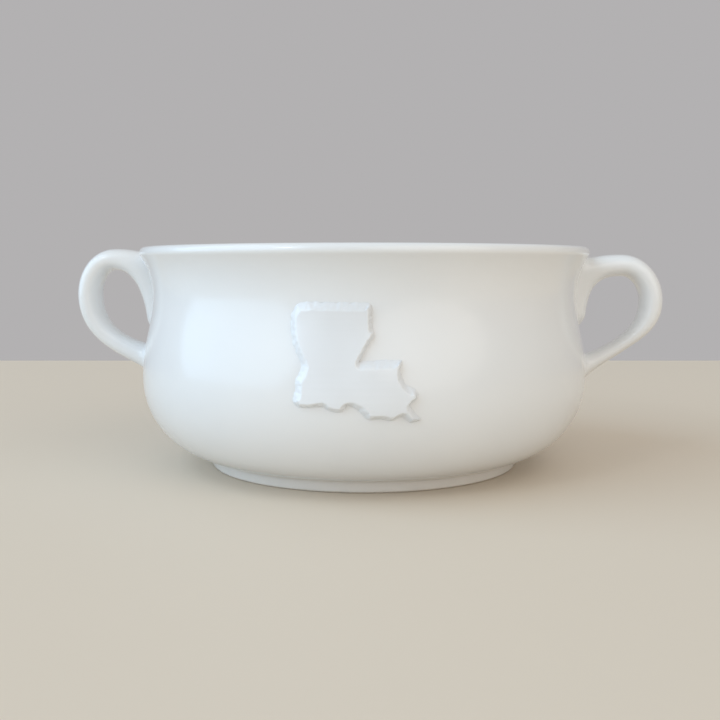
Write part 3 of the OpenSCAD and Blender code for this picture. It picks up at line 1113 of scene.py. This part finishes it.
@dataclass(frozen=True)
class BareBand:
    """The bare clay low on a foot, where the glaze was wiped off."""

    clay: Triple
    edge: Span = (0.29 * MM, 0.37 * MM)
    wander: float = 0.25 * MM
    wander_size: float = 7 * MM
    grain_size: float = 0.5 * MM
    grain_span: Span = (0.35, 0.7)
    grain_shade: float = 0.86
    roughness: float = 0.75

    def wipe(self, kit: Nodes, colour: Socket, rough: Socket) -> tuple[Socket, Socket]:
        """Wipes the glaze off the lowest face, with a slightly wandering edge.

        Args:
            kit: The material's nodes.
            colour: The glazed colour.
            rough: The glazed roughness.

        Returns:
            The colour and roughness with the bare band.
        """
        place = kit.add("ShaderNodeTexCoord").outputs["Object"]
        z = kit.add("ShaderNodeSeparateXYZ", Vector=place).outputs["Z"]
        wander = kit.math("MULTIPLY", kit.noise(place, self.wander_size), self.wander)
        bare = kit.ramp(kit.math("SUBTRACT", z, wander), self.edge, (1, 0))
        grain = kit.ramp(kit.noise(place, self.grain_size, 4), self.grain_span)
        clay = kit.blend(grain, self.clay, tuple(self.grain_shade * c for c in self.clay))
        rough = kit.math("MAXIMUM", rough, kit.math("MULTIPLY", bare, self.roughness))
        return kit.blend(bare, colour, clay), rough


@dataclass(frozen=True)
class Glaze:
    """A clear gloss glaze over pale clay, darker in hollows where it pools. On the figure that darkening is
    painted shade.
    """

    name: str
    colour: Triple
    # Colour in hollows: pooled glaze, and painted shade on the figure.
    pooled_and_shade: Triple
    thinned: Triple
    band: BareBand | None = None
    pool_share: float = 0.8
    thin_share: float = 0.6
    cloud_span: Span = (0.3, 0.7)
    cloud_share: float = 0.25
    rough_span: Span = (0.25, 0.75)
    roughness: Span = (0.18, 0.25)
    bump: float = 0.02 * MM
    ior: float = 1.5
    coat: float = 0.45
    coat_roughness: float = 0.11

    def build(self, surface: bpy.types.NodeTree) -> bpy.types.Material:
        """Makes the material.

        Args:
            surface: The group that says how the glaze lies.

        Returns:
            The material.
        """
        material = bpy.data.materials.new(self.name)
        material.use_nodes = True
        material.diffuse_color = (*self.colour, 1)
        kit = Nodes(material.node_tree)
        lay = kit.add("ShaderNodeGroup", node_tree=surface)
        cloud = lay.outputs["Cloud"]
        colour = kit.blend(kit.ramp(cloud, self.cloud_span, (0, self.cloud_share)), self.colour, self.pooled_and_shade)
        # Darker in hollows: pooled glaze, and on the figure painted shade along the crevices round its edges.
        colour = kit.blend(kit.math("MULTIPLY", lay.outputs["Pool"], self.pool_share), colour, self.pooled_and_shade)
        colour = kit.blend(kit.math("MULTIPLY", lay.outputs["Thin"], self.thin_share), colour, self.thinned)
        rough = kit.ramp(cloud, self.rough_span, self.roughness)
        if self.band:
            colour, rough = self.band.wipe(kit, colour, rough)
        bump = kit.add("ShaderNodeBump", Height=lay.outputs["Height"], Distance=self.bump, Strength=1.0)
        kit.fill(material.node_tree.nodes["Principled BSDF"], Base_Color=colour, Roughness=rough,
                 Normal=bump.outputs["Normal"], IOR=self.ior, Coat_Weight=self.coat,
                 Coat_Roughness=self.coat_roughness)
        return material


@dataclass(frozen=True)
class Lamp:
    """A round soft lamp that faces the bowl: its place and width in metres and its power in watts."""

    name: str
    place: Triple
    size: float
    power: float
    colour: Triple
    aim: Triple = (0, 0, 0.04)

    def build(self) -> None:
        """Adds the lamp to the scene."""
        data = bpy.data.lights.new(self.name, "AREA")
        data.shape = "DISK"
        data.size = self.size
        data.energy = self.power
        data.color = self.colour
        lamp = bpy.data.objects.new(self.name, data)
        bpy.context.scene.collection.objects.link(lamp)
        lamp.location = self.place
        way = Vector(self.aim) - Vector(self.place)
        lamp.rotation_euler = way.to_track_quat("-Z", "Y").to_euler()


@dataclass
class Studio:
    """The plain pale floor, the soft lamps and the camera."""

    lens: float = 47.5
    film: float = 36
    near: float = 10 * MM
    place: Vector = Vector((20.3, -313.0, 63.5)) * MM
    pitch: float = math.radians(5.53)
    yaw: float = math.radians(3.95)
    floor_back: float = 338 * MM
    floor_front: float = -1500 * MM
    floor_half_width: float = 1500 * MM
    floor_colour: Triple = (0.73, 0.645, 0.54)
    floor_roughness: float = 0.6
    wall_colour: Triple = (0.45, 0.44, 0.445)
    fill_colour: Triple = (0.58, 0.565, 0.535)
    lamps: tuple[Lamp, ...] = (Lamp("window", (-2.5, -1.1, 1.3), 4.6, 88, (0.53, 0.77, 1.0)),
                               Lamp("room", (1.5, -2.0, 1.4), 3.4, 24, (1.0, 0.94, 0.85)),
                               Lamp("glint", (-1.2, -1.6, 1.3), 0.22, 2.0, (1.0, 1.0, 1.0)))

    def camera(self) -> None:
        """Sets the camera where the photograph was taken from."""
        data = bpy.data.cameras.new("camera")
        data.lens = self.lens
        data.sensor_width = self.film
        data.clip_start = self.near
        camera = bpy.data.objects.new("camera", data)
        bpy.context.scene.collection.objects.link(camera)
        camera.location = self.place
        camera.rotation_euler = (math.pi / 2 - self.pitch, 0, self.yaw)
        bpy.context.scene.camera = camera

    def floor(self) -> None:
        """Lays the plain floor, its far edge level with the picture."""
        bpy.ops.mesh.primitive_plane_add(size=2)
        plane = Piece("floor")
        back, front = self.floor_back, self.floor_front
        size = np.array([self.floor_half_width, (back - front) / 2, 1])
        turn = np.array(Matrix.Rotation(self.yaw, 3, "Z"))
        plane.reshape((plane.points() * size + np.array([0, (back + front) / 2, 0])) @ turn.T)
        material = bpy.data.materials.new("plain_floor")
        material.use_nodes = True
        Nodes(material.node_tree).fill(material.node_tree.nodes["Principled BSDF"],
                                       Base_Color=(*self.floor_colour, 1), Roughness=self.floor_roughness)
        plane.obj.data.materials.append(material)

    def world(self) -> None:
        """Shows the room as a plain grey wall and fills it with soft light from all around."""
        world = bpy.data.worlds.new("room")
        bpy.context.scene.world = world
        world.use_nodes = True
        kit = Nodes(world.node_tree)
        rays = kit.add("ShaderNodeLightPath").outputs
        direct = kit.math("MAXIMUM", rays["Is Camera Ray"], rays["Is Glossy Ray"])
        seen = kit.math("MAXIMUM", direct, rays["Is Transmission Ray"])
        colour = kit.blend(seen, self.fill_colour, self.wall_colour)
        kit.fill(world.node_tree.nodes["Background"], Color=colour)

    def build(self) -> None:
        """Sets up the camera, the floor, the room and the lamps."""
        bpy.context.scene.view_settings.view_transform = "Standard"
        self.camera()
        self.floor()
        self.world()
        for lamp in self.lamps:
            lamp.build()


def main() -> None:
    """Builds the bowl's pieces in order, dresses them and reports each."""
    logging.basicConfig(level=logging.INFO, format="%(name)s: %(message)s")
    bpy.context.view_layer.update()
    Studio().build()
    surface = GlazeSurface().build()
    white = Glaze("white_glaze", (0.82, 0.83, 0.84), pooled_and_shade=(0.72, 0.745, 0.77),
                  thinned=(0.86, 0.845, 0.82)).build(surface)
    foot_glaze = Glaze("foot_glaze", (0.80, 0.775, 0.74), pooled_and_shade=(0.66, 0.64, 0.61),
                       thinned=(0.84, 0.81, 0.77), band=BareBand((0.74, 0.69, 0.62))).build(surface)
    # The figure's glaze is a copy of the white glaze painted bluer and lighter as cool light on the figure.
    # Its hollow colour is painted shade: dark lines in the crevices round the figure's edges.
    figure_glaze_painted_light = Glaze("figure_glaze_painted_light", (0.83, 0.86, 0.90), pooled_and_shade=(0.50, 0.48, 0.45),
                         thinned=(0.88, 0.88, 0.89)).build(surface)
    wall, hand = Wall(), Hand()
    Bowl(wall, hand).build(white)
    Foot(wall, hand).build(foot_glaze)
    Handle(Side.LEFT, wall, hand, out=23.4 * MM, drop=0.1 * MM, tail_drop=27 * MM, corner_drop=32.2 * MM,
           arm_t=6.4 * MM, bends=Bends(0.62, 0.13, 0.55, 0.33)).build(white)
    Handle(Side.RIGHT, wall, hand, out=24.2 * MM, drop=2.1 * MM, tail_drop=25 * MM, corner_drop=35 * MM,
           arm_t=4.2 * MM, bends=Bends(0.5, 0.22, 0.72, 0.22)).build(white)
    Relief(wall, hand).build(figure_glaze_painted_light)


if __name__ == "__main__":
    main()
